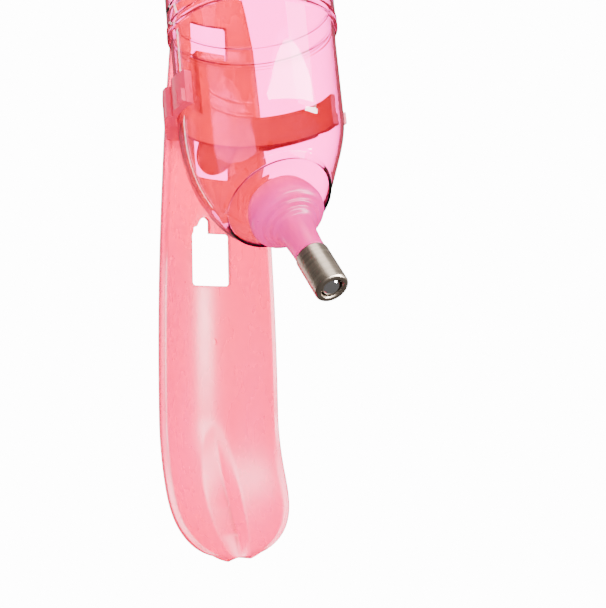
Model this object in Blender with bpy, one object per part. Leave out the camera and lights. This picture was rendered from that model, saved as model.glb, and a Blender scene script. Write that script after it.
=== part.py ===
"""Hanging water bottle for a rabbit cage: a moulded back plate with a wire hook, a clip-on cradle, a
clear bottle with an angled neck, and a screw-on nozzle with a steel sleeve and a sprung ball.

Run with: blender --background --python part.py. Metres, +Z up, the drinking side faces -Y, and the
origin is on the inner face of the hook's tail, where the plate bears on the cage wall.
"""

import math

import bmesh
import bpy
from mathutils import Vector

MM = 0.001

# Back plate, in the plate's own frame: X across, Z up its length, its trough's floor at Y = 0.
PLATE_THICK = 2.2
PLATE_NOSE = -113.0
PLATE_STRAIGHT_TOP = 112.0
PLATE_HALF_WIDTH = 27.6
PLATE_TAPER_FROM = -50.0
PLATE_TAPER = 8.2 / 150.0**2
TROUGH_DEPTH = 7.3
TROUGH_FULL_TO = 40.0
TROUGH_SHALLOW_AT = 100.0
TROUGH_SHALLOW_DEPTH = 6.3
TROUGH_FLAT_FROM = 140.0
RIM_WIDTH = 2.8
NOSE_LENGTH = 33.0
NOSE_CUT = 0.985
TOE_START = -56.0
TOE_CURVE = 0.0064
LEAF_TOP = -60.7
LEAF_HALF_WIDTH = 8.2
LEAF_HEIGHT = 3.6
LEAF_FADE = 9.0
WINDOW_HALF_WIDTH = 9.1
WINDOWS = ((-2.3, 20.0), (42.8, 60.0), (94.0, 109.5))
NOTCH_ACROSS = (-5.9, 0.0)
NOTCH_HIGH = 26.5
HOOK_LEAN_RADIUS = 100.0
HOOK_LEAN = math.radians(25.0)
HOOK_RADIUS = 6.5
HOOK_TAIL = 18.0
HOOK_HALF_WIDTH = 16.0

# Bottle, in its own frame: Z along its axis, Z = 0 level with the lowest point of the shoulder.
BOTTLE_TILT = math.radians(7.5)
BOTTLE_FOOT = (0.0, -49.6, 6.5)
BODY_RADIUS = 32.5
UPPER_RADIUS = 33.5
BEAD_RADIUS = 33.9
BEAD_Z = 88.0
BOTTLE_TOP = 175.5
DOME_TOP = 52.0
WALL = 1.4
BOTTLE_SIDES = 36

# Nozzle, in its own frame: the origin is the centre of the cap's front face, Z points up the neck.
NECK_ANGLE = math.radians(35.6)
NOZZLE_PLACE = (0.0, -14.2, 8.5)
NECK_RADIUS = 10.6
NECK_MOUTH = 3.7
FACET_RADIUS = 22.7
FACET_Z = 13.2
CAP_RADIUS = 14.6
CAP_BACK_RADIUS = 12.2
CAP_BORE = 11.0
CAP_DEPTH = 12.5
WATER_BORE = 3.3
SLEEVE_TOP = -19.1
SLEEVE_END = -37.1
SLEEVE_RADIUS = 6.4
SLEEVE_BORE = 5.3
LIP_RADIUS = 3.95
LIP_MOUTH = 4.4
BALL_RADIUS = 4.3
BALL_CENTRE = -33.5
SPRING_TOP = -21.2
SPRING_RADIUS = 2.35
SPRING_WIRE = 0.35
SPRING_TURNS = 5
ROUND_SIDES = 32

# Cradle, in the bottle's frame.
CLIP_INNER = 32.85
CLIP_OUTER = 34.6
CLIP_LOW = 54.0
CLIP_HIGH = 66.5
CLIP_REACH = math.radians(100.0)
WING_START = math.radians(76.0)
WING_EXTRA = 1.5
NUB_START = math.radians(95.0)
NUB_OUTER = 38.0
NUB_HIGH = 59.0
SPINE_REACH = math.radians(14.0)
SPINE_INSET = 0.12
FIT_GAP = 0.35

# The hook's tail starts where the lean and the bend end; its inner face's centre is the origin.
LEAN_END = (
    HOOK_LEAN_RADIUS * (1.0 - math.cos(HOOK_LEAN)),
    PLATE_STRAIGHT_TOP + HOOK_LEAN_RADIUS * math.sin(HOOK_LEAN),
)
BEND_CENTRE = (
    LEAN_END[0] + HOOK_RADIUS * math.cos(HOOK_LEAN),
    LEAN_END[1] - HOOK_RADIUS * math.sin(HOOK_LEAN),
)
TAIL_Y = BEND_CENTRE[0] + HOOK_RADIUS
TAIL_TOP = BEND_CENTRE[1]
ORIGIN_IN_PLATE = (0.0, TAIL_Y - PLATE_THICK, TAIL_TOP - HOOK_TAIL / 2.0)


def clear_scene():
    for item in list(bpy.data.objects):
        bpy.data.objects.remove(item, do_unlink=True)


def material(name, colour, roughness, metallic=0.0, alpha=1.0):
    made = bpy.data.materials.new(name)
    made.use_nodes = True
    shader = made.node_tree.nodes["Principled BSDF"]
    shader.inputs["Base Color"].default_value = (*colour, 1.0)
    shader.inputs["Roughness"].default_value = roughness
    shader.inputs["Metallic"].default_value = metallic
    shader.inputs["Alpha"].default_value = alpha
    return made


def empty(name, place, turn_x=0.0, parent=None):
    made = bpy.data.objects.new(name, None)
    bpy.context.collection.objects.link(made)
    made.parent = parent
    made.location = Vector(place) * MM
    made.rotation_euler = (turn_x, 0.0, 0.0)
    return made


def finish(bm, name, finish_material, parent, sharp=35.0):
    """Turns a bmesh drawn in millimetres into a named object under its frame."""
    bmesh.ops.scale(bm, vec=(MM, MM, MM), verts=bm.verts)
    bmesh.ops.recalc_face_normals(bm, faces=bm.faces)
    mesh = bpy.data.meshes.new(name)
    bm.to_mesh(mesh)
    bm.free()
    mesh.shade_smooth()
    mesh.set_sharp_from_angle(angle=math.radians(sharp))
    mesh.materials.append(finish_material)
    made = bpy.data.objects.new(name, mesh)
    bpy.context.collection.objects.link(made)
    made.parent = parent
    return made


def thicken(made, thickness):
    """Turns an open surface into a wall that grows inwards from it."""
    shell = made.modifiers.new("thickness", "SOLIDIFY")
    shell.thickness = thickness * MM
    shell.offset = -1.0


def turned(bm, profile, sides, closed=False):
    """Revolves (radius, height) points about Z. Points on the axis become one vertex. A closed
    profile is a ring's section, and an open one starts and ends on the axis."""
    rings = []
    for radius, height in profile:
        if radius < 1e-6:
            rings.append([bm.verts.new((0.0, 0.0, height))])
            continue
        ring = []
        for index in range(sides):
            angle = 2.0 * math.pi * index / sides
            ring.append(bm.verts.new((radius * math.cos(angle), radius * math.sin(angle), height)))
        rings.append(ring)
    pairs = list(zip(rings, rings[1:]))
    if closed:
        pairs.append((rings[-1], rings[0]))
    for lower, upper in pairs:
        join_rings(bm, lower, upper)


def join_rings(bm, lower, upper):
    count = max(len(lower), len(upper))
    for index in range(count):
        after = (index + 1) % count
        if len(lower) == 1:
            bm.faces.new((lower[0], upper[after], upper[index]))
        elif len(upper) == 1:
            bm.faces.new((lower[index], lower[after], upper[0]))
        else:
            bm.faces.new((lower[index], lower[after], upper[after], upper[index]))


def turned_object(name, profile, sides, finish_material, parent, closed=False):
    bm = bmesh.new()
    turned(bm, profile, sides, closed)
    return finish(bm, name, finish_material, parent)


# ---------------------------------------------------------------- back plate


def plate_half_width(height):
    """Half the plate's width: tapered upwards, and rounded to a blunt nose at the toe."""
    if height < PLATE_TAPER_FROM:
        drop = max(0.0, (PLATE_NOSE + NOSE_LENGTH - height) / NOSE_LENGTH)
        return PLATE_HALF_WIDTH * math.sqrt(1.0 - drop**3)
    taper = PLATE_HALF_WIDTH - PLATE_TAPER * (height - PLATE_TAPER_FROM) ** 2
    return max(HOOK_HALF_WIDTH, taper)


def trough_depth(height):
    """How far the rims stand in front of the trough's floor."""
    if height <= PLATE_TAPER_FROM:
        return TROUGH_DEPTH * (plate_half_width(height) / PLATE_HALF_WIDTH) ** 1.5
    if height <= TROUGH_FULL_TO:
        return TROUGH_DEPTH
    if height <= TROUGH_SHALLOW_AT:
        part = (height - TROUGH_FULL_TO) / (TROUGH_SHALLOW_AT - TROUGH_FULL_TO)
        return TROUGH_DEPTH + (TROUGH_SHALLOW_DEPTH - TROUGH_DEPTH) * part
    part = (TROUGH_FLAT_FROM - height) / (TROUGH_FLAT_FROM - TROUGH_SHALLOW_AT)
    return TROUGH_SHALLOW_DEPTH * max(0.0, part)


def leaf_lift(across, height):
    """The pressed leaf near the toe: a ridge with a sharp crest, pointed at its top."""
    along = (LEAF_TOP - height) / (LEAF_TOP - PLATE_NOSE)
    if along <= 0.0:
        return 0.0
    half_width = LEAF_HALF_WIDTH * math.sin(math.pi * min(1.0, 0.12 + 0.72 * along)) ** 0.8
    rise = LEAF_HEIGHT * min(1.0, 1.6 * along, (height - PLATE_NOSE) / LEAF_FADE)
    return rise * max(0.0, 1.0 - abs(across) / half_width)


def plate_rows():
    """Rows up the plate: (floor's Y and Z, height that sets the section, forward direction)."""
    nose_steps = 10
    heights = [
        PLATE_NOSE + NOSE_LENGTH * (1.0 - NOSE_CUT * math.sin(math.pi / 2.0 * step / nose_steps))
        for step in range(nose_steps + 1)
    ]
    heights += [-72.0, -66.0, LEAF_TOP, -50.0, -35.0, -18.0]
    heights += [height for window in WINDOWS for height in window]
    heights += [NOTCH_HIGH, 9.0, 33.0, 52.0, 70.0, 82.0, 102.0, PLATE_STRAIGHT_TOP]
    rows = []
    for height in sorted(heights):
        forward = TOE_CURVE * max(0.0, TOE_START - height) ** 2
        rows.append((-forward, height, height, (-1.0, 0.0)))
    lean_steps = 5
    for step in range(1, lean_steps + 1):
        angle = HOOK_LEAN * step / lean_steps
        y = HOOK_LEAN_RADIUS * (1.0 - math.cos(angle))
        z = PLATE_STRAIGHT_TOP + HOOK_LEAN_RADIUS * math.sin(angle)
        rows.append((y, z, z, (-math.cos(angle), math.sin(angle))))
    bend_steps = 8
    for step in range(1, bend_steps + 1):
        angle = HOOK_LEAN + (math.pi - HOOK_LEAN) * step / bend_steps
        y = BEND_CENTRE[0] - HOOK_RADIUS * math.cos(angle)
        z = BEND_CENTRE[1] + HOOK_RADIUS * math.sin(angle)
        rows.append((y, z, BOTTLE_TOP, (-math.cos(angle), math.sin(angle))))
    rows.append((TAIL_Y, TAIL_TOP - HOOK_TAIL, BOTTLE_TOP, (1.0, 0.0)))
    return rows


def rim_start(half_width):
    """Where the trough ends and the flat rim begins; the rim narrows with the nose."""
    return half_width - min(RIM_WIDTH, 0.2 * half_width)


def plate_columns(half_width):
    """Places across the plate: fixed inside the windows, spread between them and the rim, and drawn
    together where the nose is narrow."""
    rim = rim_start(half_width)
    edge = min(WINDOW_HALF_WIDTH, 0.69 * rim)
    inner = [0.0, 0.32 * edge, 0.65 * edge, edge]
    outer = [edge + (rim - edge) * part for part in (0.36, 0.7, 1.0)]
    right = inner + outer + [half_width]
    return [-place for place in reversed(right[1:])] + right


def make_back_plate(frame, plastic):
    bm = bmesh.new()
    rows = plate_rows()
    grid = []
    for y, z, height, forward in rows:
        half_width = plate_half_width(height)
        rim = rim_start(half_width)
        line = []
        for across in plate_columns(half_width):
            lift = trough_depth(height) * min(1.0, abs(across) / rim) ** 2
            lift += leaf_lift(across, height)
            line.append(bm.verts.new((across, y + forward[0] * lift, z + forward[1] * lift)))
        grid.append(line)
    for row, (lower, upper) in enumerate(zip(grid, grid[1:])):
        middle_z = (rows[row][1] + rows[row + 1][1]) / 2.0
        in_window = any(low < middle_z < high for low, high in WINDOWS)
        in_window = in_window and rows[row][2] < BOTTLE_TOP
        by_notch = WINDOWS[0][1] < middle_z < NOTCH_HIGH
        for column in range(len(lower) - 1):
            middle_x = (upper[column].co.x + upper[column + 1].co.x) / 2.0
            if in_window and abs(middle_x) < WINDOW_HALF_WIDTH:
                continue
            if by_notch and NOTCH_ACROSS[0] < middle_x < NOTCH_ACROSS[1]:
                continue
            bm.faces.new((lower[column], lower[column + 1], upper[column + 1], upper[column]))
    loose = [vert for vert in bm.verts if not vert.link_faces]
    bmesh.ops.delete(bm, geom=loose, context="VERTS")
    thicken(finish(bm, "back_plate", plastic, frame), PLATE_THICK)


# ---------------------------------------------------------------- bottle


def tilted_ring(bm, centre_y, centre_z, radius, tilt, sides):
    """A circle whose normal leans from +Z towards +Y by tilt."""
    ring = []
    for index in range(sides):
        angle = 2.0 * math.pi * index / sides
        in_plane = radius * math.sin(angle)
        ring.append(
            bm.verts.new(
                (
                    radius * math.cos(angle),
                    centre_y + in_plane * math.cos(tilt),
                    centre_z - in_plane * math.sin(tilt),
                )
            )
        )
    return ring


def up_the_neck(distance):
    """A point on the neck's axis, in the bottle's frame, as (Y, Z)."""
    return (
        NOZZLE_PLACE[1] + distance * math.sin(NECK_ANGLE),
        NOZZLE_PLACE[2] + distance * math.cos(NECK_ANGLE),
    )


def bezier(points, t):
    rest = 1.0 - t
    weights = (rest**3, 3 * rest**2 * t, 3 * rest * t**2, t**3)
    return sum(w * p[0] for w, p in zip(weights, points)), sum(w * p[1] for w, p in zip(weights, points))


def bottle_rings():
    """The bottle's outer rings from mouth to top, as (centre Y, centre Z, radius, tilt)."""
    rings = []
    neck = (
        (NECK_MOUTH, NECK_RADIUS - 0.3),
        (NECK_MOUTH + 0.6, NECK_RADIUS),
        (CAP_DEPTH + 0.2, NECK_RADIUS),
        (CAP_DEPTH + 0.7, NECK_RADIUS + 0.6),
        (CAP_DEPTH + 0.5, CAP_BACK_RADIUS + 1.2),
        (FACET_Z - 3.0, FACET_RADIUS - 1.4),
    )
    for distance, radius in neck:
        rings.append((*up_the_neck(distance), radius, NECK_ANGLE))
    start = up_the_neck(FACET_Z)
    path = (start, up_the_neck(FACET_Z + 11.0), (0.0, DOME_TOP - 13.0), (0.0, DOME_TOP))
    dome_steps = 9
    for step in range(dome_steps + 1):
        t = step / dome_steps
        swell = math.sin(t * math.pi / 2.0) ** 0.85
        radius = FACET_RADIUS + (BODY_RADIUS - FACET_RADIUS) * swell
        tilt = NECK_ANGLE * (1.0 - t) ** 1.2
        rings.append((*bezier(path, t), radius, tilt))
    straight = (
        (BEAD_Z - 0.3, BODY_RADIUS),
        (BEAD_Z, BEAD_RADIUS),
        (BEAD_Z + 1.3, BEAD_RADIUS),
        (BEAD_Z + 2.2, BODY_RADIUS + 0.4),
        (BEAD_Z + 3.4, BEAD_RADIUS),
        (BEAD_Z + 4.8, UPPER_RADIUS),
        (BEAD_Z + 8.5, UPPER_RADIUS),
        (BEAD_Z + 9.4, UPPER_RADIUS - 0.7),
        (BEAD_Z + 10.3, UPPER_RADIUS),
        (BOTTLE_TOP - 8.0, UPPER_RADIUS),
        (BOTTLE_TOP - 4.0, UPPER_RADIUS - 1.0),
        (BOTTLE_TOP - 1.2, UPPER_RADIUS - 3.6),
        (BOTTLE_TOP, UPPER_RADIUS - 7.0),
        (BOTTLE_TOP - 0.2, UPPER_RADIUS - 11.0),
        (BOTTLE_TOP - 2.6, UPPER_RADIUS - 16.0),
    )
    for height, radius in straight:
        rings.append((0.0, height, radius, 0.0))
    return rings


def make_bottle_body(frame, plastic):
    bm = bmesh.new()
    rings = [tilted_ring(bm, *ring, BOTTLE_SIDES) for ring in bottle_rings()]
    for lower, upper in zip(rings, rings[1:]):
        join_rings(bm, lower, upper)
    pole = bm.verts.new((0.0, 0.0, BOTTLE_TOP - 4.0))
    join_rings(bm, rings[-1], [pole])
    thicken(finish(bm, "bottle_body", plastic, frame), WALL)


# ---------------------------------------------------------------- cradle


def arc_band(bm, sections):
    """A band round the bottle: one (angle from the back, inner, outer, low, high) per section."""
    rings = []
    for angle, inner, outer, low, high in sections:
        sine, cosine = math.sin(angle), math.cos(angle)
        corners = ((inner, low), (outer, low), (outer, high), (inner, high))
        rings.append([bm.verts.new((radius * sine, radius * cosine, z)) for radius, z in corners])
    for before, after in zip(rings, rings[1:]):
        join_rings(bm, before, after)
    bm.faces.new(rings[0])
    bm.faces.new(list(reversed(rings[-1])))


def clip_sections():
    """The clip's band, thicker in its two wings."""
    sections = []
    steps = 40
    for step in range(steps + 1):
        angle = -CLIP_REACH + 2.0 * CLIP_REACH * step / steps
        past = max(0.0, (abs(angle) - WING_START) / (CLIP_REACH - WING_START))
        outer = CLIP_OUTER + WING_EXTRA * min(1.0, past * 3.0)
        sections.append((angle, CLIP_INNER, outer, CLIP_LOW, CLIP_HIGH))
    return sections


def plain_sections(start, end, inner, outer, low, high):
    steps = 6
    return [
        (start + (end - start) * step / steps, inner, outer, low, high) for step in range(steps + 1)
    ]


def prism(bm, outline, low, high, to_point):
    """Extrudes a flat outline; to_point places (a, b, height) as a vertex."""
    bottom = [bm.verts.new(to_point(a, b, low)) for a, b in outline]
    top = [bm.verts.new(to_point(a, b, high)) for a, b in outline]
    join_rings(bm, bottom, top)
    bm.faces.new(bottom)
    bm.faces.new(list(reversed(top)))


def lug_outline(side):
    """Side lug in plan: from the clip back to a round foot that bears on the plate's rim."""
    outline = (
        (33.0, 8.8),
        (35.2, 9.6),
        (34.9, 13.4),
        (30.4, 23.0),
        (25.2, 31.0),
        (24.6, 33.2),
        (23.2, 34.0),
        (20.2, 34.0),
        (18.9, 33.0),
        (19.4, 31.2),
        (26.0, 22.6),
        (30.6, 14.8),
    )
    return [(side * x, y) for x, y in outline]


def tongue_outline():
    """The latch tongue seen from the front: straight sides and a round tip, as (X, distance)."""
    half_width, length = 9.2, 16.0
    outline = [(half_width, 0.0)]
    for step in range(9):
        angle = math.pi * step / 8
        outline.append((half_width * math.cos(angle), length - half_width * (1.0 - math.sin(angle))))
    outline.append((-half_width, 0.0))
    return outline


def cradle_piece(name, build, frame):
    """One simple body of the cradle."""
    bm = bmesh.new()
    build(bm)
    bmesh.ops.scale(bm, vec=(MM, MM, MM), verts=bm.verts)
    bmesh.ops.recalc_face_normals(bm, faces=bm.faces)
    mesh = bpy.data.meshes.new(name)
    bm.to_mesh(mesh)
    bm.free()
    made = bpy.data.objects.new(name, mesh)
    bpy.context.collection.objects.link(made)
    made.parent = frame
    return made


def make_cradle(plate_frame, frame, plastic):
    def spine(bm):
        """The strap up the bottle's back, whose top end carries the bottle's bead."""
        inner, outer = CLIP_INNER + SPINE_INSET, CLIP_OUTER - SPINE_INSET
        low, high = CLIP_LOW + 1.0, BEAD_Z - FIT_GAP
        arc_band(bm, plain_sections(-SPINE_REACH, SPINE_REACH, inner, outer, low, high))

    def hanger(bm):
        """The strap behind the spine that turns back through the top window and down behind it.
        Its outline is drawn in the plate's frame, as (Y, Z)."""
        window_low = WINDOWS[2][0]
        outline = (
            (-5.4, 76.0),
            (-1.3, 77.5),
            (-1.3, window_low + 0.5),
            (PLATE_THICK + 0.5, window_low + 0.5),
            (PLATE_THICK + 0.5, window_low - 5.0),
            (PLATE_THICK + 2.6, window_low - 5.0),
            (PLATE_THICK + 2.6, window_low + 2.8),
            (-3.2, window_low + 2.8),
            (-3.2, 86.4),
            (-5.4, 85.4),
        )
        prism(bm, outline, -6.8, 6.8, lambda y, z, x: (x, y, z))

    def tongue(bm):
        lean = math.radians(45.0)
        start_y, start_z, thick = 33.4, CLIP_LOW + 1.6, 1.7

        def to_point(x, along, depth):
            y = start_y + along * math.sin(lean) + depth * math.cos(lean)
            return (x, y, start_z - along * math.cos(lean) + depth * math.sin(lean))

        prism(bm, tongue_outline(), 0.0, thick, to_point)

    def lug(side):
        low, high = CLIP_LOW + 0.1, CLIP_HIGH - 0.5
        return lambda bm: prism(bm, lug_outline(side), low, high, lambda x, y, z: (x, y, z))

    def nub(side):
        """A finger tab on the outside of a wing's end."""
        ends = (side * NUB_START, side * (CLIP_REACH - math.radians(0.4)))
        return lambda bm: arc_band(
            bm, plain_sections(*ends, CLIP_OUTER - 0.4, NUB_OUTER, CLIP_LOW + 0.2, NUB_HIGH)
        )

    def clip(bm):
        arc_band(bm, clip_sections())

    made = cradle_piece("bottle_cradle", clip, frame)
    made.data.materials.append(plastic)
    tools = [cradle_piece("tool_hanger", hanger, plate_frame)]
    builders = {
        "tool_spine": spine,
        "tool_tongue": tongue,
        "tool_lug_left": lug(-1.0),
        "tool_lug_right": lug(1.0),
        "tool_nub_left": nub(-1.0),
        "tool_nub_right": nub(1.0),
    }
    tools += [cradle_piece(name, build, frame) for name, build in builders.items()]
    for tool in tools:
        tool.hide_render = True
        tool.display_type = "WIRE"
        union = made.modifiers.new(tool.name, "BOOLEAN")
        union.operation = "UNION"
        union.solver = "EXACT"
        union.object = tool


# ---------------------------------------------------------------- nozzle


def cap_profile():
    """Closed section of the cap: outside from the skirt's edge to the spout's end, then back inside."""
    return (
        (CAP_BORE, CAP_DEPTH),
        (CAP_BACK_RADIUS, CAP_DEPTH),
        (13.3, 10.0),
        (14.2, 7.0),
        (CAP_RADIUS, 4.2),
        (14.5, 2.4),
        (14.0, 1.0),
        (13.0, 0.1),
        (11.5, -0.3),
        (11.0, -1.6),
        (9.4, -1.9),
        (8.9, -3.4),
        (7.7, -4.4),
        (6.5, -9.0),
        (6.0, -15.0),
        (6.0, SLEEVE_TOP + 0.4),
        (4.95, SLEEVE_TOP + 0.2),
        (4.95, -22.2),
        (4.3, -22.4),
        (4.3, -24.0),
        (4.95, -24.2),
        (4.95, -26.6),
        (WATER_BORE, -26.8),
        (WATER_BORE, -19.6),
        (2.4, -19.4),
        (2.4, 1.6),
        (8.4, 2.0),
        (CAP_BORE, 2.0),
    )


def make_nozzle(frame, milky, steel, silicone, nitrile):
    sides = ROUND_SIDES
    turned_object("nozzle_cap", cap_profile(), sides, milky, frame, closed=True)
    gasket = ((8.0, 2.3), (NECK_RADIUS, 2.3), (NECK_RADIUS, 3.4), (8.0, 3.4))
    turned_object("cap_gasket", gasket, sides, silicone, frame, closed=True)
    sleeve = (
        (SLEEVE_BORE, SLEEVE_TOP),
        (SLEEVE_RADIUS - 0.3, SLEEVE_TOP),
        (SLEEVE_RADIUS, SLEEVE_TOP - 0.4),
        (SLEEVE_RADIUS, SLEEVE_END + 0.7),
        (SLEEVE_RADIUS - 0.5, SLEEVE_END),
        (LIP_MOUTH, SLEEVE_END),
        (LIP_RADIUS, SLEEVE_END + 0.8),
        (LIP_RADIUS, SLEEVE_END + 1.2),
        (BALL_RADIUS + 0.35, SLEEVE_END + 3.2),
        (BALL_RADIUS + 0.35, -27.6),
        (SLEEVE_BORE, -27.2),
    )
    turned_object("steel_sleeve", sleeve, sides, steel, frame, closed=True)
    ring = []
    for step in range(8):
        angle = 2.0 * math.pi * step / 8
        ring.append((4.77 + 0.4 * math.cos(angle), -23.2 + 0.42 * math.sin(angle)))
    turned_object("sleeve_oring", ring, 24, nitrile, frame, closed=True)
    retainer = ((1.3, -19.9), (3.0, -19.9), (3.0, -20.9), (1.3, -20.9))
    turned_object("spring_retainer", retainer, 24, milky, frame, closed=True)


def make_ball(frame, chrome):
    profile = []
    steps = 12
    for step in range(steps + 1):
        angle = math.pi * step / steps
        radius = BALL_RADIUS * math.sin(angle)
        profile.append((radius if 0 < step < steps else 0.0, BALL_RADIUS * math.cos(angle)))
    ball_frame = empty("ball_seat_frame", (0.0, 0.0, BALL_CENTRE), parent=frame)
    turned_object("outlet_ball", profile, 24, chrome, ball_frame)


def make_spring(frame, steel):
    """A closed helix of round wire between the retainer and the ball."""
    reach = math.sqrt(BALL_RADIUS**2 - SPRING_RADIUS**2)
    low = BALL_CENTRE + reach + SPRING_WIRE + 0.3
    high = SPRING_TOP - SPRING_WIRE
    bm = bmesh.new()
    around, wire_sides = 14, 6
    rings = []
    total = SPRING_TURNS * around
    for step in range(total + 1):
        turn = 2.0 * math.pi * step / around
        centre = Vector(
            (SPRING_RADIUS * math.cos(turn), SPRING_RADIUS * math.sin(turn), low + (high - low) * step / total)
        )
        outward = Vector((math.cos(turn), math.sin(turn), 0.0))
        ring = []
        for side in range(wire_sides):
            angle = 2.0 * math.pi * side / wire_sides
            offset = outward * math.cos(angle) + Vector((0.0, 0.0, 1.0)) * math.sin(angle)
            ring.append(bm.verts.new(centre + offset * SPRING_WIRE))
        rings.append(ring)
    for before, after in zip(rings, rings[1:]):
        join_rings(bm, before, after)
    bm.faces.new(rings[0])
    bm.faces.new(list(reversed(rings[-1])))
    finish(bm, "ball_spring", steel, frame)


def main():
    clear_scene()
    plate_frame = empty("plate_frame", [-value for value in ORIGIN_IN_PLATE])
    bottle_frame = empty("bottle_frame", BOTTLE_FOOT, -BOTTLE_TILT, plate_frame)
    nozzle_frame = empty("nozzle_frame", NOZZLE_PLACE, -NECK_ANGLE, bottle_frame)
    pink = material("pink_plastic", (0.95, 0.36, 0.42), 0.3)
    clear_pink = material("clear_pink_plastic", (0.97, 0.35, 0.42), 0.08, alpha=0.45)
    milky = material("milky_pink_plastic", (0.95, 0.35, 0.55), 0.35)
    steel = material("brushed_steel", (0.55, 0.5, 0.45), 0.35, metallic=1.0)
    chrome = material("chrome", (0.8, 0.8, 0.82), 0.08, metallic=1.0)
    silicone = material("white_silicone", (0.9, 0.88, 0.86), 0.6)
    nitrile = material("black_rubber", (0.03, 0.03, 0.03), 0.7)
    make_back_plate(plate_frame, pink)
    make_cradle(plate_frame, bottle_frame, pink)
    make_bottle_body(bottle_frame, clear_pink)
    make_nozzle(nozzle_frame, milky, steel, silicone, nitrile)
    make_ball(nozzle_frame, chrome)
    make_spring(nozzle_frame, steel)


main()
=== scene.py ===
"""Looks of the hanging rabbit water bottle: fine meshes and procedural materials round the CAD frame.

Everything is drawn in millimetres in one of three frames (plate, bottle, nozzle) that repeat the CAD
model's own, and rides on a CAD body, so one script serves every pose.
"""

import math

import bmesh
import bpy
from mathutils import Matrix, Vector


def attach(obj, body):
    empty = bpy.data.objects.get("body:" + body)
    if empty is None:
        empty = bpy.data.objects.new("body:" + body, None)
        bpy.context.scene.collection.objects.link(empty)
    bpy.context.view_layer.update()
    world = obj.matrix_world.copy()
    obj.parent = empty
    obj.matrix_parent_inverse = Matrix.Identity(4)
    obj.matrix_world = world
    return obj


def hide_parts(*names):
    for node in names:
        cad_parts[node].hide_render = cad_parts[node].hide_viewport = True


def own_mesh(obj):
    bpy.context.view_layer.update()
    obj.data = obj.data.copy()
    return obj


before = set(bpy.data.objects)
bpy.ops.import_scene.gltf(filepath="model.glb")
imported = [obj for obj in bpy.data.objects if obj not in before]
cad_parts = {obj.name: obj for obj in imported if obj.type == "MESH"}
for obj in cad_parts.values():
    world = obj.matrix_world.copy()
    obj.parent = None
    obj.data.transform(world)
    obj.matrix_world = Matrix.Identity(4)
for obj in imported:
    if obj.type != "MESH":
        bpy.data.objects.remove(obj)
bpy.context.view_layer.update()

MM = 0.001

# ------------------------------------------------------------------ the CAD's driving dimensions

PLATE_THICK = 2.2
PLATE_NOSE = -113.0
PLATE_STRAIGHT_TOP = 112.0
PLATE_HALF_WIDTH = 27.6
PLATE_TAPER_FROM = -50.0
PLATE_TAPER = 8.2 / 150.0**2
TROUGH_DEPTH = 7.3
TROUGH_FULL_TO = 40.0
TROUGH_SHALLOW_AT = 100.0
TROUGH_SHALLOW_DEPTH = 6.3
TROUGH_FLAT_FROM = 140.0
RIM_WIDTH = 2.8
NOSE_LENGTH = 33.0
# The CAD has 0.985 here. The looks stop a little short of it, so that they stay inside its box.
NOSE_CUT = 0.983
TOE_START = -56.0
TOE_CURVE = 0.0064
LEAF_TOP = -60.7
LEAF_HALF_WIDTH = 8.2
LEAF_HEIGHT = 3.6
LEAF_FADE = 9.0
WINDOW_HALF_WIDTH = 9.1
WINDOWS = ((-2.3, 20.0), (42.8, 60.0), (94.0, 109.5))
NOTCH_ACROSS = (-5.9, 0.0)
NOTCH_HIGH = 26.5
HOOK_LEAN_RADIUS = 100.0
HOOK_LEAN = math.radians(25.0)
HOOK_RADIUS = 6.5
HOOK_TAIL = 18.0
HOOK_HALF_WIDTH = 16.0

BOTTLE_TILT = math.radians(7.5)
BOTTLE_FOOT = (0.0, -49.6, 6.5)
BODY_RADIUS = 32.5
UPPER_RADIUS = 33.5
BEAD_RADIUS = 33.9
BEAD_Z = 88.0
BOTTLE_TOP = 175.5
DOME_TOP = 52.0
WALL = 1.4

NECK_ANGLE = math.radians(35.6)
NOZZLE_PLACE = (0.0, -14.2, 8.5)
NECK_RADIUS = 10.6
NECK_MOUTH = 3.7
FACET_RADIUS = 22.7
FACET_Z = 13.2
CAP_RADIUS = 14.6
CAP_BACK_RADIUS = 12.2
CAP_BORE = 11.0
CAP_DEPTH = 12.5
WATER_BORE = 3.3
SLEEVE_TOP = -19.1
SLEEVE_END = -37.1
SLEEVE_RADIUS = 6.4
SLEEVE_BORE = 5.3
LIP_RADIUS = 3.95
LIP_MOUTH = 4.4
BALL_RADIUS = 4.3
BALL_CENTRE = -33.5
SPRING_TOP = -21.2
SPRING_RADIUS = 2.35
SPRING_WIRE = 0.35
SPRING_TURNS = 5

CLIP_INNER = 32.85
CLIP_OUTER = 34.6
CLIP_LOW = 54.0
CLIP_HIGH = 66.5
CLIP_REACH = math.radians(100.0)
WING_START = math.radians(76.0)
WING_EXTRA = 1.5
NUB_START = math.radians(95.0)
NUB_OUTER = 38.0
NUB_HIGH = 59.0
SPINE_REACH = math.radians(14.0)
SPINE_INSET = 0.12
FIT_GAP = 0.35

# Only the looks have these: an ejector mark, how far a cutter reaches, and how round a lathed piece is.
DIMPLE_PLACE = (0.8, -26.0)
DIMPLE_RADIUS = 1.3
CUT_FRONT = -14.0
CUT_BACK = 8.0
TURNED_SIDES = 96

LEAN_END = (
    HOOK_LEAN_RADIUS * (1.0 - math.cos(HOOK_LEAN)),
    PLATE_STRAIGHT_TOP + HOOK_LEAN_RADIUS * math.sin(HOOK_LEAN),
)
BEND_CENTRE = (
    LEAN_END[0] + HOOK_RADIUS * math.cos(HOOK_LEAN),
    LEAN_END[1] - HOOK_RADIUS * math.sin(HOOK_LEAN),
)
TAIL_Y = BEND_CENTRE[0] + HOOK_RADIUS
TAIL_TOP = BEND_CENTRE[1]
ORIGIN_IN_PLATE = Vector((0.0, TAIL_Y - PLATE_THICK, TAIL_TOP - HOOK_TAIL / 2.0))

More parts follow.
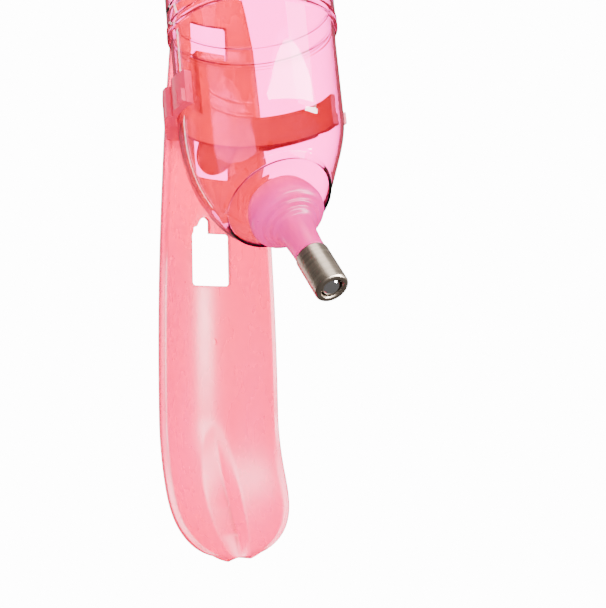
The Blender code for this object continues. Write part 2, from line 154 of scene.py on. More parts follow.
PLATE_FRAME = Matrix.Translation(-ORIGIN_IN_PLATE * MM)
BOTTLE_FRAME = (
    PLATE_FRAME @ Matrix.Translation(Vector(BOTTLE_FOOT) * MM) @ Matrix.Rotation(-BOTTLE_TILT, 4, "X")
)
NOZZLE_FRAME = (
    BOTTLE_FRAME @ Matrix.Translation(Vector(NOZZLE_PLACE) * MM) @ Matrix.Rotation(-NECK_ANGLE, 4, "X")
)

# ------------------------------------------------------------------ camera, light, floor

CAMERA_IN_PLATE = Vector((-203.7, -371.0, -35.7))
CAMERA_RIGHT = Vector((0.82945, -0.55807, -0.02376))
CAMERA_DOWN = Vector((0.01307, 0.06191, -0.998))
FOCAL_OVER_WIDTH = 1000.0 / 606.0
SENSOR_MM = 36.0
FLOOR_Z = -1.6
FLOOR_RADIUS = 5.0
ROOM_LIGHT = 1.7
BACKDROP_LIGHT = 14.0
MIRRORED_ROOM_LIGHT = 0.16
PLASTIC_GLOW = 1.4


def make_camera():
    data = bpy.data.cameras.new("camera")
    data.sensor_fit = "HORIZONTAL"
    data.sensor_width = SENSOR_MM
    data.lens = SENSOR_MM * FOCAL_OVER_WIDTH
    data.clip_start = 0.01
    data.clip_end = 50.0
    camera = bpy.data.objects.new("camera", data)
    bpy.context.scene.collection.objects.link(camera)
    right = CAMERA_RIGHT.normalized()
    up = -(CAMERA_DOWN - right * CAMERA_DOWN.dot(right)).normalized()
    back = right.cross(up)
    turn = Matrix((right, up, back)).transposed().to_4x4()
    camera.matrix_world = Matrix.Translation((CAMERA_IN_PLATE - ORIGIN_IN_PLATE) * MM) @ turn
    bpy.context.scene.camera = camera


def soft_light(name, place, aim, size, size_y, watts):
    """A rectangular light that the lens does not see directly."""
    data = bpy.data.lights.new(name, "AREA")
    data.shape = "RECTANGLE"
    data.size = size
    data.size_y = size_y
    data.energy = watts
    light = bpy.data.objects.new(name, data)
    bpy.context.scene.collection.objects.link(light)
    light.location = place
    light.rotation_euler = (Vector(aim) - Vector(place)).to_track_quat("-Z", "Y").to_euler()
    light.visible_camera = False
    return light


def make_studio():
    world = bpy.data.worlds.new("studio")
    bpy.context.scene.world = world
    world.use_nodes = True
    nodes = world.node_tree.nodes
    links = world.node_tree.links
    background = nodes["Background"]
    output = nodes["World Output"]
    # What lights the object: bright above, dimmer towards the floor.
    where = nodes.new("ShaderNodeTexCoord")
    parts = nodes.new("ShaderNodeSeparateXYZ")
    links.new(where.outputs["Generated"], parts.inputs[0])
    ramp = nodes.new("ShaderNodeValToRGB")
    ramp.color_ramp.elements[0].position = 0.30
    ramp.color_ramp.elements[0].color = (0.45, 0.44, 0.43, 1.0)
    ramp.color_ramp.elements[1].position = 0.62
    ramp.color_ramp.elements[1].color = (1.0, 1.0, 1.0, 1.0)
    lift = nodes.new("ShaderNodeMath")
    lift.operation = "MULTIPLY_ADD"
    lift.inputs[1].default_value = 0.5
    lift.inputs[2].default_value = 0.5
    links.new(parts.outputs["Z"], lift.inputs[0])
    links.new(lift.outputs[0], ramp.inputs[0])
    links.new(ramp.outputs[0], background.inputs["Color"])
    background.inputs["Strength"].default_value = ROOM_LIGHT
    # What the lens sees past the object: an even white.
    white = nodes.new("ShaderNodeBackground")
    white.inputs["Color"].default_value = (1.0, 1.0, 1.0, 1.0)
    white.inputs["Strength"].default_value = BACKDROP_LIGHT
    path = nodes.new("ShaderNodeLightPath")
    either = nodes.new("ShaderNodeMath")
    either.operation = "MAXIMUM"
    links.new(path.outputs["Is Camera Ray"], either.inputs[0])
    links.new(path.outputs["Is Transmission Ray"], either.inputs[1])
    # What shows as a reflection: a dim room, so that the tints stay clean and the metal has contrast.
    room = nodes.new("ShaderNodeBackground")
    room.inputs["Color"].default_value = (1.0, 0.95, 0.92, 1.0)
    room.inputs["Strength"].default_value = MIRRORED_ROOM_LIGHT
    mirrored = nodes.new("ShaderNodeMixShader")
    links.new(path.outputs["Is Glossy Ray"], mirrored.inputs[0])
    links.new(background.outputs[0], mirrored.inputs[1])
    links.new(room.outputs[0], mirrored.inputs[2])
    # What a camera or refracted ray meets past the object if it was mirrored on its way, as happens
    # inside the clear plastic: a pink glow.
    glow = nodes.new("ShaderNodeBackground")
    glow.inputs["Color"].default_value = (1.0, 0.10, 0.18, 1.0)
    glow.inputs["Strength"].default_value = PLASTIC_GLOW
    bounced = nodes.new("ShaderNodeMath")
    bounced.operation = "GREATER_THAN"
    bounced.inputs[1].default_value = 0.5
    links.new(path.outputs["Glossy Depth"], bounced.inputs[0])
    beyond = nodes.new("ShaderNodeMixShader")
    links.new(bounced.outputs[0], beyond.inputs[0])
    links.new(white.outputs[0], beyond.inputs[1])
    links.new(glow.outputs[0], beyond.inputs[2])
    mix = nodes.new("ShaderNodeMixShader")
    links.new(either.outputs[0], mix.inputs[0])
    links.new(mirrored.outputs[0], mix.inputs[1])
    links.new(beyond.outputs[0], mix.inputs[2])
    links.new(mix.outputs[0], output.inputs["Surface"])

    soft_light("rim_left", (-0.38, 0.93, 0.0), (0.0, -0.03, -0.08), 0.09, 1.0, 2.2)
    soft_light("key_right", (0.52, -0.85, 0.3), (0.0, -0.05, -0.08), 0.5, 0.6, 12.0)
    # The window and the strip make highlights and light no matt surface; the fill does the opposite.
    window = soft_light("window", (0.20, -1.03, 0.37), (0.0, -0.05, -0.06), 1.3, 0.28, 62.0)
    window.visible_diffuse = False
    fill = soft_light("fill", (-0.10, -0.40, -0.22), (0.0, -0.07, -0.13), 0.25, 0.25, 1.4)
    fill.visible_glossy = False
    fill.visible_transmission = False
    strip = soft_light("strip", (0.66, -0.88, -0.12), (0.0, -0.03, -0.14), 0.34, 0.2, 24.0)
    strip.visible_diffuse = False
    soft_light("top", (0.0, -0.1, 0.9), (0.0, -0.03, -0.05), 0.7, 0.7, 10.0)

    bm = bmesh.new()
    bmesh.ops.create_circle(bm, cap_ends=True, segments=64, radius=FLOOR_RADIUS)
    floor = new_object("floor", bm, Matrix.Translation((0.0, 0.0, FLOOR_Z)), scale=1.0)
    paper = bpy.data.materials.new("white_paper")
    paper.use_nodes = True
    shader = paper.node_tree.nodes["Principled BSDF"]
    shader.inputs["Base Color"].default_value = (0.92, 0.92, 0.92, 1.0)
    shader.inputs["Roughness"].default_value = 0.9
    floor.data.materials.append(paper)
    floor.visible_glossy = False


# ------------------------------------------------------------------ mesh helpers


def new_object(name, bm, place, scale=MM, sharp=40.0):
    """A mesh object whose points already sit in the shared frame."""
    bmesh.ops.transform(bm, matrix=place @ Matrix.Scale(scale, 4), verts=bm.verts)
    bmesh.ops.recalc_face_normals(bm, faces=bm.faces)
    mesh = bpy.data.meshes.new(name)
    bm.to_mesh(mesh)
    bm.free()
    mesh.shade_smooth()
    mesh.set_sharp_from_angle(angle=math.radians(sharp))
    made = bpy.data.objects.new(name, mesh)
    bpy.context.scene.collection.objects.link(made)
    return made


def join_rings(bm, lower, upper):
    count = max(len(lower), len(upper))
    for index in range(count):
        after = (index + 1) % count
        if len(lower) == 1:
            bm.faces.new((lower[0], upper[after], upper[index]))
        elif len(upper) == 1:
            bm.faces.new((lower[index], lower[after], upper[0]))
        else:
            bm.faces.new((lower[index], lower[after], upper[after], upper[index]))


def turned(bm, profile, sides, closed=False):
    """Revolves (radius, height) points about Z; a closed profile is a ring's section."""
    rings = []
    for radius, height in profile:
        if radius < 1e-6:
            rings.append([bm.verts.new((0.0, 0.0, height))])
            continue
        ring = []
        for index in range(sides):
            angle = 2.0 * math.pi * index / sides
            ring.append(bm.verts.new((radius * math.cos(angle), radius * math.sin(angle), height)))
        rings.append(ring)
    pairs = list(zip(rings, rings[1:]))
    if closed:
        pairs.append((rings[-1], rings[0]))
    for lower, upper in pairs:
        join_rings(bm, lower, upper)


def rounded(profile, radius, steps=3):
    """Rounds a profile's corners with short arcs that reach radius along each side."""
    result = []
    count = len(profile)
    for index, point in enumerate(profile):
        here = Vector(point)
        before = Vector(profile[index - 1]) - here
        after = Vector(profile[(index + 1) % count]) - here
        reach = min(radius, before.length * 0.45, after.length * 0.45)
        if before.angle(after) > math.radians(165.0):
            result.append(tuple(here))
            continue
        start = here + before.normalized() * reach
        end = here + after.normalized() * reach
        for step in range(steps + 1):
            t = step / steps
            result.append(tuple(start * (1 - t) ** 2 + here * 2 * t * (1 - t) + end * t * t))
    return result


def bevel(made, width, angle, segments):
    edge = made.modifiers.new("edge", "BEVEL")
    edge.width = width * MM
    edge.segments = segments
    edge.limit_method = "ANGLE"
    edge.angle_limit = math.radians(angle)


def apply_modifiers(made):
    depsgraph = bpy.context.evaluated_depsgraph_get()
    mesh = bpy.data.meshes.new_from_object(made.evaluated_get(depsgraph))
    made.modifiers.clear()
    made.data = mesh


def boolean(made, tool, operation):
    cut = made.modifiers.new(tool.name, "BOOLEAN")
    cut.operation = operation
    cut.solver = "EXACT"
    cut.object = tool


def drop(tools):
    for tool in tools:
        bpy.data.objects.remove(tool, do_unlink=True)


# ------------------------------------------------------------------ materials


def principled(name, colour, roughness, metallic=0.0, transmission=0.0, ior=1.49, coat=0.0, sheen=0.5):
    made = bpy.data.materials.new(name)
    made.use_nodes = True
    shader = made.node_tree.nodes["Principled BSDF"]
    shader.inputs["Base Color"].default_value = (*colour, 1.0)
    shader.inputs["Roughness"].default_value = roughness
    shader.inputs["Metallic"].default_value = metallic
    shader.inputs["Transmission Weight"].default_value = transmission
    shader.inputs["IOR"].default_value = ior
    shader.inputs["Coat Weight"].default_value = coat
    shader.inputs["Specular IOR Level"].default_value = sheen
    return made, shader


def node(material, kind, **values):
    made = material.node_tree.nodes.new(kind)
    for key, value in values.items():
        if key in made.inputs:
            made.inputs[key].default_value = value
        else:
            setattr(made, key, value)
    return made


def coordinates(material, stretch, turn):
    """Object coordinates, turned about X and then stretched."""
    links = material.node_tree.links
    where = node(material, "ShaderNodeTexCoord")
    turned_to = node(material, "ShaderNodeMapping")
    turned_to.inputs["Rotation"].default_value = (turn, 0.0, 0.0)
    mapping = node(material, "ShaderNodeMapping")
    mapping.inputs["Scale"].default_value = stretch
    links.new(where.outputs["Object"], turned_to.inputs[0])
    links.new(turned_to.outputs[0], mapping.inputs[0])
    return mapping


def vary(material, shader, dark, light, scale, low=0.35, high=0.65, stretch=(1.0, 1.0, 1.0), turn=0.0):
    """Colour that drifts softly between two values over the surface."""
    links = material.node_tree.links
    mapping = coordinates(material, stretch, turn)
    noise = node(material, "ShaderNodeTexNoise", Scale=scale, Detail=3.0)
    ramp = node(material, "ShaderNodeValToRGB")
    ramp.color_ramp.elements[0].position = low
    ramp.color_ramp.elements[0].color = (*dark, 1.0)
    ramp.color_ramp.elements[1].position = high
    ramp.color_ramp.elements[1].color = (*light, 1.0)
    links.new(mapping.outputs[0], noise.inputs["Vector"])
    links.new(noise.outputs["Fac"], ramp.inputs[0])
    links.new(ramp.outputs[0], shader.inputs["Base Color"])


def texture_bump(material, shader, scale, strength, distance, stretch=(1.0, 1.0, 1.0), turn=0.0):
    links = material.node_tree.links
    mapping = coordinates(material, stretch, turn)
    noise = node(material, "ShaderNodeTexNoise", Scale=scale, Detail=2.0)
    bump = node(material, "ShaderNodeBump", Strength=strength, Distance=distance)
    links.new(mapping.outputs[0], noise.inputs["Vector"])
    links.new(noise.outputs["Fac"], bump.inputs["Height"])
    links.new(bump.outputs[0], shader.inputs["Normal"])
    return noise


def rough_vary(material, shader, noise, low, high):
    spread = node(material, "ShaderNodeMapRange")
    spread.inputs["To Min"].default_value = low
    spread.inputs["To Max"].default_value = high
    material.node_tree.links.new(noise.outputs["Fac"], spread.inputs["Value"])
    material.node_tree.links.new(spread.outputs[0], shader.inputs["Roughness"])


def moulded_pink(name, dark, light, transmission, roughness):
    """Translucent injection-moulded plastic: soft clouding and a faint pull along the flow."""
    material, shader = principled(name, light, roughness, transmission=transmission, sheen=0.16)
    vary(material, shader, dark, light, 22.0, stretch=(1.0, 1.0, 0.35))
    noise = texture_bump(material, shader, 160.0, 0.03, 0.0004, stretch=(1.0, 1.0, 0.4))
    rough_vary(material, shader, noise, roughness - 0.05, roughness + 0.08)
    return material


def clear_pink():
    material, shader = principled(
        "clear_pink", (0.78, 0.18, 0.50), 0.02, transmission=1.0, ior=1.14, coat=0.6
    )
    vary(material, shader, (0.77, 0.15, 0.46), (0.82, 0.19, 0.54), 9.0, stretch=(1.0, 1.0, 0.5))
    texture_bump(material, shader, 38.0, 0.05, 0.0006, stretch=(1.0, 1.0, 0.3))
    return material


def milky_pink():
    material, shader = principled("milky_pink", (0.98, 0.003, 0.34), 0.3, transmission=0.3, sheen=0.25)
    vary(material, shader, (0.97, 0.002, 0.30), (0.99, 0.004, 0.38), 60.0)
    noise = texture_bump(material, shader, 400.0, 0.06, 0.0003)
    rough_vary(material, shader, noise, 0.24, 0.38)
    return material


def brushed_steel():
    """Fine rings of brushing round the sleeve's axis."""
    along = BOTTLE_TILT + NECK_ANGLE
    material, shader = principled("brushed_steel", (0.38, 0.31, 0.24), 0.3, metallic=1.0)
    dark, light = (0.33, 0.27, 0.21), (0.43, 0.355, 0.285)
    vary(material, shader, dark, light, 900.0, stretch=(0.05, 0.05, 1.0), turn=along)
    noise = texture_bump(material, shader, 2600.0, 0.25, 0.00012, stretch=(0.03, 0.03, 1.0), turn=along)
    rough_vary(material, shader, noise, 0.24, 0.42)
    return material


def polished(name, colour, roughness):
    material, shader = principled(name, colour, roughness, metallic=1.0)
    noise = texture_bump(material, shader, 300.0, 0.03, 0.0001)
    rough_vary(material, shader, noise, roughness * 0.7, roughness * 1.5)
    return material


def rubber(name, colour, roughness):
    material, shader = principled(name, colour, roughness)
    noise = texture_bump(material, shader, 900.0, 0.15, 0.0002)
    rough_vary(material, shader, noise, roughness - 0.08, roughness + 0.1)
    return material


# ------------------------------------------------------------------ back plate


def plate_half_width(height):
    if height < PLATE_TAPER_FROM:
        into_nose = max(0.0, (PLATE_NOSE + NOSE_LENGTH - height) / NOSE_LENGTH)
        return PLATE_HALF_WIDTH * math.sqrt(1.0 - into_nose**3)
    taper = PLATE_HALF_WIDTH - PLATE_TAPER * (height - PLATE_TAPER_FROM) ** 2
    return max(HOOK_HALF_WIDTH, taper)


def trough_depth(height):
    if height <= PLATE_TAPER_FROM:
        return TROUGH_DEPTH * (plate_half_width(height) / PLATE_HALF_WIDTH) ** 1.5
    if height <= TROUGH_FULL_TO:
        return TROUGH_DEPTH
    if height <= TROUGH_SHALLOW_AT:
        part = (height - TROUGH_FULL_TO) / (TROUGH_SHALLOW_AT - TROUGH_FULL_TO)
        return TROUGH_DEPTH + (TROUGH_SHALLOW_DEPTH - TROUGH_DEPTH) * part
    part = (TROUGH_FLAT_FROM - height) / (TROUGH_FLAT_FROM - TROUGH_SHALLOW_AT)
    return TROUGH_SHALLOW_DEPTH * max(0.0, part)


def leaf_lift(across, height):
    along = (LEAF_TOP - height) / (LEAF_TOP - PLATE_NOSE)
    if along <= 0.0:
        return 0.0
    half_width = LEAF_HALF_WIDTH * math.sin(math.pi * min(1.0, 0.12 + 0.72 * along)) ** 0.8
    rise = LEAF_HEIGHT * min(1.0, 1.6 * along, (height - PLATE_NOSE) / LEAF_FADE)
    return rise * max(0.0, 1.0 - abs(across) / half_width)


def plate_rows():
    rows = []
    nose_steps = 36
    heights = [
        PLATE_NOSE + NOSE_LENGTH * (1.0 - NOSE_CUT * math.sin(math.pi / 2.0 * step / nose_steps))
        for step in range(nose_steps, -1, -1)
    ]
    row_step = 1.5
    while heights[-1] + row_step < PLATE_STRAIGHT_TOP:
        heights.append(heights[-1] + row_step)
    for height in heights:
        forward = TOE_CURVE * max(0.0, TOE_START - height) ** 2
        rows.append((-forward, height, height, (-1.0, 0.0)))
    lean_steps, bend_steps, tail_steps = 24, 24, 6
    for step in range(lean_steps + 1):
        angle = HOOK_LEAN * step / lean_steps
        y = HOOK_LEAN_RADIUS * (1.0 - math.cos(angle))
        z = PLATE_STRAIGHT_TOP + HOOK_LEAN_RADIUS * math.sin(angle)
        rows.append((y, z, z, (-math.cos(angle), math.sin(angle))))
    for step in range(1, bend_steps + 1):
        angle = HOOK_LEAN + (math.pi - HOOK_LEAN) * step / bend_steps
        y = BEND_CENTRE[0] - HOOK_RADIUS * math.cos(angle)
        z = BEND_CENTRE[1] + HOOK_RADIUS * math.sin(angle)
        rows.append((y, z, BOTTLE_TOP, (-math.cos(angle), math.sin(angle))))
    for step in range(1, tail_steps + 1):
        rows.append((TAIL_Y, TAIL_TOP - HOOK_TAIL * step / tail_steps, BOTTLE_TOP, (1.0, 0.0)))
    return rows


def rounded_window(low, high, half_width, radius=1.4):
    """A prism through the plate with rounded corners."""
    outline = []
    corners = (
        (half_width - radius, high - radius, 0.0),
        (-half_width + radius, high - radius, 90.0),
        (-half_width + radius, low + radius, 180.0),
        (half_width - radius, low + radius, 270.0),
    )
    for x, z, start in corners:
        for step in range(7):
            angle = math.radians(start + 15.0 * step)
            outline.append((x + radius * math.cos(angle), z + radius * math.sin(angle)))
    bm = bmesh.new()
    front = [bm.verts.new((x, CUT_FRONT, z)) for x, z in outline]
    back = [bm.verts.new((x, CUT_BACK, z)) for x, z in outline]
    join_rings(bm, front, back)
    bm.faces.new(front)
    bm.faces.new(list(reversed(back)))
    return new_object("window_tool", bm, PLATE_FRAME)


def notch_tool():
    """The small ragged opening that joins the lower window's top left corner."""
    left, right = NOTCH_ACROSS
    low = WINDOWS[0][1]
    outline = (
        (left - 2.6, low - 1.0),
        (right, low - 1.0),
        (right, NOTCH_HIGH - 1.0),
        (right - 1.6, NOTCH_HIGH + 0.4),
        (left + 1.8, NOTCH_HIGH - 0.3),
        (left + 0.4, NOTCH_HIGH - 2.2),
        (left - 0.4, low + 2.6),
        (left - 2.2, low + 2.2),
    )
    bm = bmesh.new()
    prism(bm, rounded(outline, 0.6), CUT_FRONT, CUT_BACK, lambda x, z, y: (x, y, z))
    return new_object("notch_tool", bm, PLATE_FRAME)


def dimple_tool():
    """A shallow ejector mark on the trough's floor."""
    bm = bmesh.new()
    turned(bm, ((0.0, -1.0), (DIMPLE_RADIUS, -1.0), (DIMPLE_RADIUS, 0.35), (0.0, 0.15)), 32)
    across, height = DIMPLE_PLACE
    facing = Matrix.Translation(Vector((across, 0.0, height)) * MM) @ Matrix.Rotation(
        math.radians(-90.0), 4, "X"
    )
    return new_object("dimple_tool", bm, PLATE_FRAME @ facing)


def make_plate(plastic):
    bm = bmesh.new()
    grid = []
    half_columns = 30
    for y, z, height, forward in plate_rows():
        half_width = plate_half_width(height)
        rim = half_width - min(RIM_WIDTH, 0.2 * half_width)
        line = []
        for column in range(-half_columns, half_columns + 1):
            across = half_width * column / half_columns
            lift = trough_depth(height) * min(1.0, abs(across) / rim) ** 2
            lift += leaf_lift(across, height)
            line.append(bm.verts.new((across, y + forward[0] * lift, z + forward[1] * lift)))
        grid.append(line)
    for lower, upper in zip(grid, grid[1:]):
        for column in range(len(lower) - 1):
            bm.faces.new((lower[column], lower[column + 1], upper[column + 1], upper[column]))
    made = new_object("back_plate_shell", bm, PLATE_FRAME)
    shell = made.modifiers.new("thickness", "SOLIDIFY")
    shell.thickness = PLATE_THICK * MM
    shell.offset = -1.0
    tools = [rounded_window(low, high, WINDOW_HALF_WIDTH) for low, high in WINDOWS]
    tools += [notch_tool(), dimple_tool()]
    for tool in tools:
        boolean(made, tool, "DIFFERENCE")
    bevel(made, 0.45, angle=50.0, segments=3)
    apply_modifiers(made)
    drop(tools)
    made.data.shade_smooth()
    made.data.set_sharp_from_angle(angle=math.radians(40.0))
    made.data.materials.append(plastic)
    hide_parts("back_plate")
    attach(made, "holder")


# ------------------------------------------------------------------ bottle


def tilted_ring(bm, centre_y, centre_z, radius, tilt, sides):
    ring = []
    for index in range(sides):
        angle = 2.0 * math.pi * index / sides
        in_plane = radius * math.sin(angle)
        place = (
            radius * math.cos(angle),
            centre_y + in_plane * math.cos(tilt),
            centre_z - in_plane * math.sin(tilt),
        )
        ring.append(bm.verts.new(place))
    return ring


def up_the_neck(distance):
    return (
        NOZZLE_PLACE[1] + distance * math.sin(NECK_ANGLE),
        NOZZLE_PLACE[2] + distance * math.cos(NECK_ANGLE),
    )


def bezier(points, t):
    rest = 1.0 - t
    weights = (rest**3, 3 * rest**2 * t, 3 * rest * t**2, t**3)
    return sum(w * p[0] for w, p in zip(weights, points)), sum(w * p[1] for w, p in zip(weights, points))


def bottle_rings():
    rings = []
    neck = (
        (NECK_MOUTH, NECK_RADIUS - 0.3),
        (NECK_MOUTH + 0.6, NECK_RADIUS),
        (CAP_DEPTH + 0.2, NECK_RADIUS),
        (CAP_DEPTH + 0.7, NECK_RADIUS + 0.6),
        (CAP_DEPTH + 0.5, CAP_BACK_RADIUS + 1.2),
        (FACET_Z - 3.0, FACET_RADIUS - 1.4),
    )
    for distance, radius in neck:
        rings.append((*up_the_neck(distance), radius, NECK_ANGLE))
    start = up_the_neck(FACET_Z)
    path = (start, up_the_neck(FACET_Z + 11.0), (0.0, DOME_TOP - 13.0), (0.0, DOME_TOP))
    dome_steps = 40
    for step in range(dome_steps + 1):
        t = step / dome_steps
        swell = math.sin(t * math.pi / 2.0) ** 0.85
        radius = FACET_RADIUS + (BODY_RADIUS - FACET_RADIUS) * swell
        tilt = NECK_ANGLE * (1.0 - t) ** 1.2
        rings.append((*bezier(path, t), radius, tilt))
    straight = (
        (BODY_RADIUS, DOME_TOP + 4.0),
        (BODY_RADIUS, BEAD_Z - 0.3),
        (BEAD_RADIUS, BEAD_Z),
        (BEAD_RADIUS, BEAD_Z + 1.3),
        (BODY_RADIUS + 0.4, BEAD_Z + 2.2),
        (BEAD_RADIUS, BEAD_Z + 3.4),
        (UPPER_RADIUS, BEAD_Z + 4.8),
        (UPPER_RADIUS, BEAD_Z + 8.5),
        (UPPER_RADIUS - 0.7, BEAD_Z + 9.4),
        (UPPER_RADIUS, BEAD_Z + 10.3),
        (UPPER_RADIUS, BOTTLE_TOP - 8.0),
        (UPPER_RADIUS - 1.0, BOTTLE_TOP - 4.0),
        (UPPER_RADIUS - 3.6, BOTTLE_TOP - 1.2),
        (UPPER_RADIUS - 7.0, BOTTLE_TOP),
        (UPPER_RADIUS - 11.0, BOTTLE_TOP - 0.2),
        (UPPER_RADIUS - 16.0, BOTTLE_TOP - 2.6),
        (0.5, BOTTLE_TOP - 4.0),
    )
    for radius, height in straight:
        rings.append((0.0, height, radius, 0.0))
    return rings


def make_bottle(plastic):
    bm = bmesh.new()
    sides = 128
    rings = [tilted_ring(bm, *ring, sides) for ring in bottle_rings()]
    for lower, upper in zip(rings, rings[1:]):
        join_rings(bm, lower, upper)
    pole = bm.verts.new((0.0, 0.0, BOTTLE_TOP - 4.0))
    join_rings(bm, rings[-1], [pole])
    made = new_object("bottle_shell", bm, BOTTLE_FRAME, sharp=60.0)
    shell = made.modifiers.new("wall", "SOLIDIFY")
    shell.thickness = WALL * MM
    shell.offset = -1.0
    bevel(made, 0.5, angle=16.0, segments=3)
    apply_modifiers(made)
    made.data.shade_smooth()
    made.data.materials.append(plastic)
    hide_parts("bottle_body")
    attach(made, "bottle")


# ------------------------------------------------------------------ cradle


def arc_band(bm, sections):
    rings = []
    for angle, inner, outer, low, high in sections:
        sine, cosine = math.sin(angle), math.cos(angle)
        corners = ((inner, low), (outer, low), (outer, high), (inner, high))
        rings.append([bm.verts.new((radius * sine, radius * cosine, z)) for radius, z in corners])
    for before, after in zip(rings, rings[1:]):
        join_rings(bm, before, after)
    bm.faces.new(rings[0])
    bm.faces.new(list(reversed(rings[-1])))


def clip_sections():
    sections = []
    steps = 120
    for step in range(steps + 1):
        angle = -CLIP_REACH + 2.0 * CLIP_REACH * step / steps
        past = max(0.0, (abs(angle) - WING_START) / (CLIP_REACH - WING_START))
        outer = CLIP_OUTER + WING_EXTRA * min(1.0, past * 3.0)
        sections.append((angle, CLIP_INNER, outer, CLIP_LOW, CLIP_HIGH))
    return sections


def plain_sections(start, end, inner, outer, low, high):
    steps = 18
    return [
        (start + (end - start) * step / steps, inner, outer, low, high) for step in range(steps + 1)
    ]


def prism(bm, outline, low, high, to_point):
    bottom = [bm.verts.new(to_point(a, b, low)) for a, b in outline]
    top = [bm.verts.new(to_point(a, b, high)) for a, b in outline]
    join_rings(bm, bottom, top)
    bm.faces.new(bottom)
    bm.faces.new(list(reversed(top)))


def lug_outline(side):
    outline = (
        (33.0, 8.8),
        (35.2, 9.6),
        (34.9, 13.4),
        (30.4, 23.0),
        (25.2, 31.0),
        (24.6, 33.2),
        (23.2, 34.0),
        (20.2, 34.0),
        (18.9, 33.0),
        (19.4, 31.2),
        (26.0, 22.6),
        (30.6, 14.8),
    )
    return rounded([(side * x, y) for x, y in outline], 1.2)


def tongue_outline():
    half_width, length = 9.2, 16.0
    outline = [(half_width, 0.0)]
    for step in range(25):
        angle = math.pi * step / 24
        outline.append((half_width * math.cos(angle), length - half_width * (1.0 - math.sin(angle))))
    outline.append((-half_width, 0.0))
    return outline


def hanger_outline():
    window_low = WINDOWS[2][0]
    outline = (
        (-5.4, 76.0),
        (-1.3, 77.5),
        (-1.3, window_low + 0.5),
        (PLATE_THICK + 0.5, window_low + 0.5),
        (PLATE_THICK + 0.5, window_low - 5.0),
        (PLATE_THICK + 2.6, window_low - 5.0),
        (PLATE_THICK + 2.6, window_low + 2.8),
        (-3.2, window_low + 2.8),
        (-3.2, 86.4),
        (-5.4, 85.4),
    )
    return rounded(outline, 0.8)


def make_cradle(plastic):
    lean = math.radians(45.0)
    start_y, start_z, thick = 33.4, CLIP_LOW + 1.6, 1.7

    def tongue_point(x, along, depth):
        y = start_y + along * math.sin(lean) + depth * math.cos(lean)
        return (x, y, start_z - along * math.cos(lean) + depth * math.sin(lean))

    def piece(name, place, build):
        bm = bmesh.new()
        build(bm)
        return new_object(name, bm, place)

    inner, outer = CLIP_INNER + SPINE_INSET, CLIP_OUTER - SPINE_INSET
    spine = plain_sections(-SPINE_REACH, SPINE_REACH, inner, outer, CLIP_LOW + 1.0, BEAD_Z - FIT_GAP)
    made = piece("cradle_moulding", BOTTLE_FRAME, lambda bm: arc_band(bm, clip_sections()))
    tools = [
        piece(
            "tool_hanger",
            PLATE_FRAME,
            lambda bm: prism(bm, hanger_outline(), -6.8, 6.8, lambda y, z, x: (x, y, z)),
        ),
        piece("tool_spine", BOTTLE_FRAME, lambda bm: arc_band(bm, spine)),
        piece(
            "tool_tongue",
            BOTTLE_FRAME,
            lambda bm: prism(bm, tongue_outline(), 0.0, thick, tongue_point),
        ),
    ]
    for side in (-1.0, 1.0):
        tools.append(
            piece(
                f"tool_lug_{'left' if side < 0 else 'right'}",
                BOTTLE_FRAME,
                lambda bm, side=side: prism(
                    bm, lug_outline(side), CLIP_LOW + 0.1, CLIP_HIGH - 0.5, lambda x, y, z: (x, y, z)
                ),
            )
        )
        ends = (side * NUB_START, side * (CLIP_REACH - math.radians(0.4)))
        nub = plain_sections(*ends, CLIP_OUTER - 0.4, NUB_OUTER, CLIP_LOW + 0.2, NUB_HIGH)
        tools.append(
            piece(
                f"tool_nub_{'left' if side < 0 else 'right'}",
                BOTTLE_FRAME,
                lambda bm, nub=nub: arc_band(bm, nub),
            )
        )
    for tool in tools:
        boolean(made, tool, "UNION")
    bevel(made, 0.3, angle=40.0, segments=2)
    apply_modifiers(made)
    drop(tools)
    made.data.shade_smooth()
    made.data.set_sharp_from_angle(angle=math.radians(40.0))
    made.data.materials.append(plastic)
    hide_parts("bottle_cradle")
    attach(made, "holder")


# ------------------------------------------------------------------ nozzle


def cap_profile():
    return (
        (CAP_BORE, CAP_DEPTH),
        (CAP_BACK_RADIUS, CAP_DEPTH),
        (13.3, 10.0),
        (14.2, 7.0),
        (CAP_RADIUS, 4.2),
        (14.5, 2.4),
        (14.0, 1.0),
        (13.0, 0.1),
        (11.5, -0.3),
        (11.0, -1.6),
        (9.4, -1.9),
        (8.9, -3.4),
        (7.7, -4.4),
        (6.5, -9.0),
        (6.0, -15.0),
        (6.0, SLEEVE_TOP + 0.4),
        (4.95, SLEEVE_TOP + 0.2),
        (4.95, -22.2),
        (4.3, -22.4),
        (4.3, -24.0),
        (4.95, -24.2),
        (4.95, -26.6),
        (WATER_BORE, -26.8),
        (WATER_BORE, -19.6),
        (2.4, -19.4),
        (2.4, 1.6),
        (8.4, 2.0),
        (CAP_BORE, 2.0),
    )


def turned_piece(name, profile, material, replaced, body):
    bm = bmesh.new()
    turned(bm, profile, TURNED_SIDES, closed=True)
    made = new_object(name, bm, NOZZLE_FRAME, sharp=50.0)
    made.data.materials.append(material)
    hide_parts(replaced)
    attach(made, body)


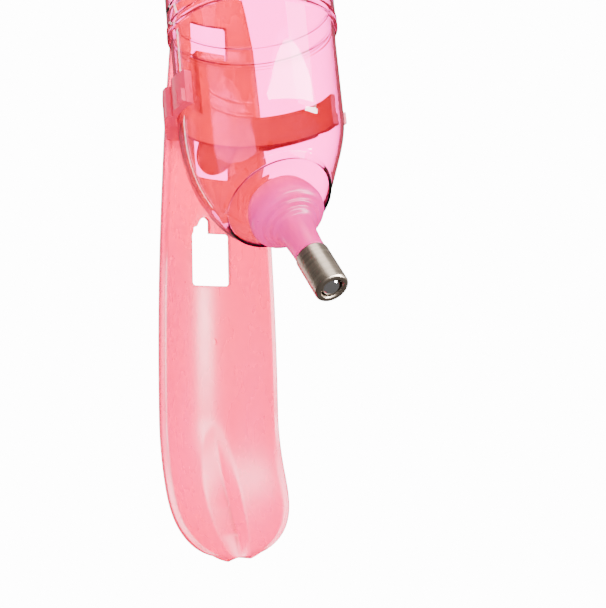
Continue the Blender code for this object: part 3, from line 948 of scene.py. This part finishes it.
def make_nozzle(milky, steel, silicone, nitrile, wire):
    turned_piece(
        "nozzle_cap_moulding", rounded(cap_profile(), 0.45), milky, "nozzle_cap", "nozzle"
    )
    gasket = ((8.0, 2.3), (NECK_RADIUS, 2.3), (NECK_RADIUS, 3.4), (8.0, 3.4))
    turned_piece("gasket_ring", rounded(gasket, 0.3), silicone, "cap_gasket", "seal")
    sleeve = (
        (SLEEVE_BORE, SLEEVE_TOP),
        (SLEEVE_RADIUS - 0.3, SLEEVE_TOP),
        (SLEEVE_RADIUS, SLEEVE_TOP - 0.4),
        (SLEEVE_RADIUS, SLEEVE_END + 0.7),
        (SLEEVE_RADIUS - 0.5, SLEEVE_END),
        (LIP_MOUTH, SLEEVE_END),
        (LIP_RADIUS, SLEEVE_END + 0.8),
        (LIP_RADIUS, SLEEVE_END + 1.2),
        (BALL_RADIUS + 0.35, SLEEVE_END + 3.2),
        (BALL_RADIUS + 0.35, -27.6),
        (SLEEVE_BORE, -27.2),
    )
    turned_piece("sleeve_tube", rounded(sleeve, 0.3), steel, "steel_sleeve", "nozzle")
    ring = []
    ring_steps, ring_radius, ring_height = 16, 4.77, -23.2
    for step in range(ring_steps):
        angle = 2.0 * math.pi * step / ring_steps
        ring.append((ring_radius + 0.4 * math.cos(angle), ring_height + 0.42 * math.sin(angle)))
    turned_piece("oring", ring, nitrile, "sleeve_oring", "nozzle")
    retainer = ((1.3, -19.9), (3.0, -19.9), (3.0, -20.9), (1.3, -20.9))
    turned_piece("retainer", rounded(retainer, 0.2), milky, "spring_retainer", "nozzle")
    make_spring(wire)


def make_spring(wire):
    reach = math.sqrt(BALL_RADIUS**2 - SPRING_RADIUS**2)
    low = BALL_CENTRE + reach + SPRING_WIRE + 0.3
    high = SPRING_TOP - SPRING_WIRE
    bm = bmesh.new()
    around, wire_sides = 40, 12
    rings = []
    total = SPRING_TURNS * around
    for step in range(total + 1):
        turn = 2.0 * math.pi * step / around
        height = low + (high - low) * step / total
        outward = Vector((math.cos(turn), math.sin(turn), 0.0))
        centre = outward * SPRING_RADIUS + Vector((0.0, 0.0, height))
        ring = []
        for side in range(wire_sides):
            angle = 2.0 * math.pi * side / wire_sides
            offset = outward * math.cos(angle) + Vector((0.0, 0.0, 1.0)) * math.sin(angle)
            ring.append(bm.verts.new(centre + offset * SPRING_WIRE))
        rings.append(ring)
    for before, after in zip(rings, rings[1:]):
        join_rings(bm, before, after)
    bm.faces.new(rings[0])
    bm.faces.new(list(reversed(rings[-1])))
    made = new_object("spring_coil", bm, NOZZLE_FRAME)
    made.data.materials.append(wire)
    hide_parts("ball_spring")
    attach(made, "nozzle")
    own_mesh(made)


def make_ball(chrome):
    bm = bmesh.new()
    bmesh.ops.create_icosphere(bm, subdivisions=5, radius=BALL_RADIUS)
    made = new_object("bearing_ball", bm, NOZZLE_FRAME @ Matrix.Translation((0.0, 0.0, BALL_CENTRE * MM)))
    made.data.materials.append(chrome)
    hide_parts("outlet_ball")
    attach(made, "ball")


# ------------------------------------------------------------------ assembly

make_camera()
make_studio()
plate_pink = moulded_pink("plate_pink", (0.96, 0.002, 0.10), (0.99, 0.004, 0.16), 0.33, 0.26)
# The cradle uses the plate's pink, made darker and less clear. This is painted shade for the clip's wing,
# whose face turns away from the light.
cradle_pink_painted_shade = moulded_pink("cradle_pink_painted_shade", (0.84, 0.004, 0.08), (0.93, 0.008, 0.13), 0.16, 0.28)
make_plate(plate_pink)
make_cradle(cradle_pink_painted_shade)
make_bottle(clear_pink())
make_nozzle(
    milky_pink(),
    brushed_steel(),
    rubber("white_silicone", (0.85, 0.83, 0.81), 0.5),
    rubber("black_nitrile", (0.03, 0.03, 0.03), 0.6),
    polished("spring_wire", (0.6, 0.6, 0.6), 0.25),
)
make_ball(polished("bearing_chrome", (0.82, 0.82, 0.84), 0.06))
